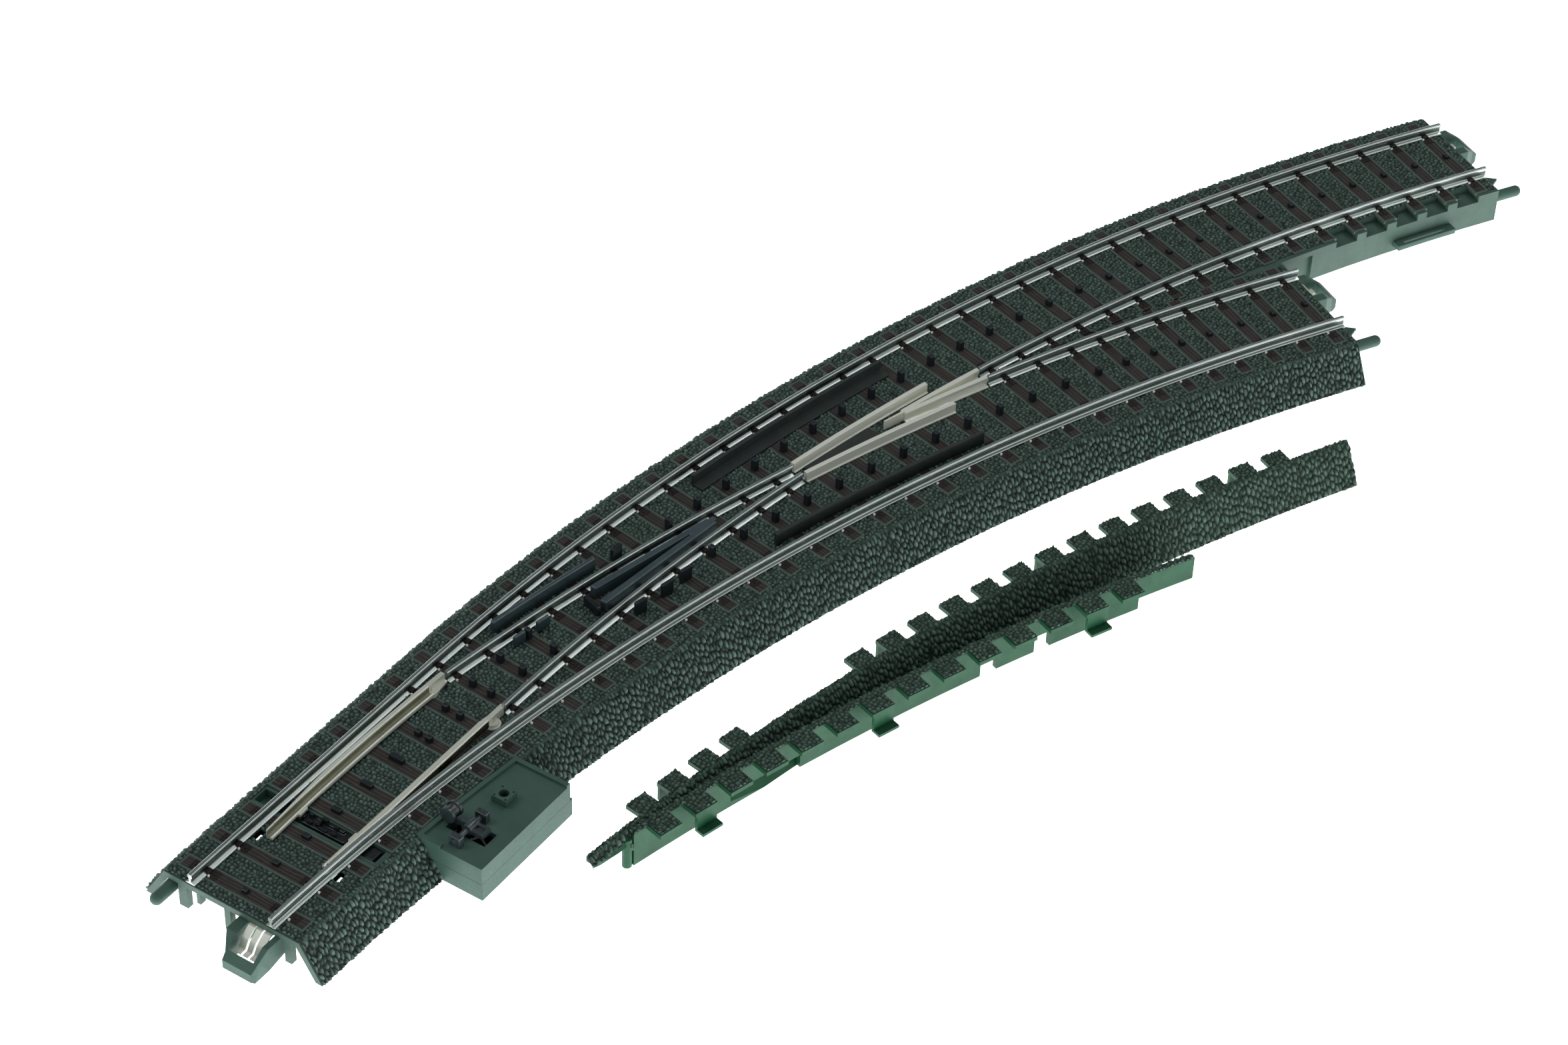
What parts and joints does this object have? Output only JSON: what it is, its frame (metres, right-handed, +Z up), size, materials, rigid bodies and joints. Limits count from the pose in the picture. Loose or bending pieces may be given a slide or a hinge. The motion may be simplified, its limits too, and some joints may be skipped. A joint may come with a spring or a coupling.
{
  "type": "model railway turnout",
  "caption": "Curved right-hand model railway turnout on moulded ballast roadbed with hand lever, moving point blades and a loose ballast infill piece.",
  "frame": {"origin": "track centre of the single end, on the base plane", "axes": "+X along the heading of the single end into the turnout, the branches bend towards -Y, +Z up from the base to the rail tops"},
  "size_m": [0.3403, 0.1181, 0.0111],
  "materials": {
    "ballast": "matt, stone textured",
    "sleeper": "matt, wood grained",
    "infill": "matt, stone textured",
    "stud": "blackened",
    "strip_metal": "bright sheet",
    "rail_metal": "bright nickel",
    "blade_metal": "satin nickel",
    "frog_metal": "satin cast nickel",
    "contact_metal": "bright spring sheet",
    "guide_dark": "satin",
    "guide_blue": "satin",
    "lever_black": "satin black",
    "housing_plastic": "fine matt",
    "screw_metal": "zinc plated"
  },
  "bodies": {
    "turnout_bed": {"bearing_blocks": "lever_black", "blade_pivots": "strip_metal", "centre_conductor": "strip_metal", "centre_studs": "stud", "crossing_studs": "stud", "entry_contacts": "contact_metal", "entry_latch": "housing_plastic", "far_check_rail": "guide_dark", "far_closure_rail": "rail_metal", "far_guide_bar": "guide_blue", "far_stock_rail": "rail_metal", "far_wing_rail": "frog_metal", "frog_casting": "frog_metal", "frog_floor": "guide_dark", "housing_base": "housing_plastic", "housing_screws": "screw_metal", "inner_branch_rail": "rail_metal", "inner_contacts": "contact_metal", "inner_latch": "housing_plastic", "joint_pegs": "housing_plastic", "lantern_socket": "housing_plastic", "lever_cover": "housing_plastic", "lever_housing": "housing_plastic", "near_check_rail": "guide_dark", "near_closure_rail": "rail_metal", "near_guide_plates": "guide_blue", "near_stock_rail": "rail_metal", "near_wing_rail": "frog_metal", "outer_branch_rail": "rail_metal", "outer_contacts": "contact_metal", "outer_latch": "housing_plastic", "over_centre_spring": "strip_metal", "rail_prongs": "housing_plastic", "roadbed": "ballast", "sleepers": "sleeper", "throw_bar_tray": "housing_plastic", "vee_clip": "lever_black", "vee_guide": "guide_blue", "wall_clip": "housing_plastic"},
    "far_blade": {"far_point_blade": "blade_metal"},
    "near_blade": {"near_point_blade": "blade_metal"},
    "throw_bar_slider": {"throw_bar": "lever_black", "setting_slide": "lever_black"},
    "lever": {"hand_lever": "lever_black", "lever_weight": "lever_black", "lever_shaft": "lever_black"},
    "infill": {"ballast_infill": "infill"}
  },
  "joints": [
    {"name": "far_blade_swing", "type": "hinge", "parent": "turnout_bed", "child": "far_blade", "pos_m": [0.06068, 0.00519, 0.00815], "axis": [0, 0, -1], "range_deg": [0, 3.93]},
    {"name": "near_blade_swing", "type": "hinge", "parent": "turnout_bed", "child": "near_blade", "pos_m": [0.0607, -0.00872, 0.00815], "axis": [0, 0, -1], "range_deg": [0, 3.93]},
    {"name": "throw_bar_slide", "type": "slide", "parent": "turnout_bed", "child": "throw_bar_slider", "axis": [0, 1, 0], "range_m": [0, 0.00253]},
    {"name": "lever_flip", "type": "hinge", "parent": "turnout_bed", "child": "lever", "pos_m": [0.0372, -0.02175, 0.0086], "axis": [1, 0, 0], "range_deg": [0, 153.6], "deforming": ["over_centre_spring"]},
    {"name": "infill_lift", "type": "slide", "parent": "turnout_bed", "child": "infill", "axis": [0, 0, 1], "range_m": [0, 0.03]}
  ],
  "couplings": [
    {"joint": "near_blade_swing", "follows": "far_blade_swing", "ratio": 1},
    {"joint": "throw_bar_slide", "follows": "far_blade_swing", "m_per_rad": 0.036867},
    {"joint": "lever_flip", "follows": "far_blade_swing", "ratio": 39.065}
  ]
}
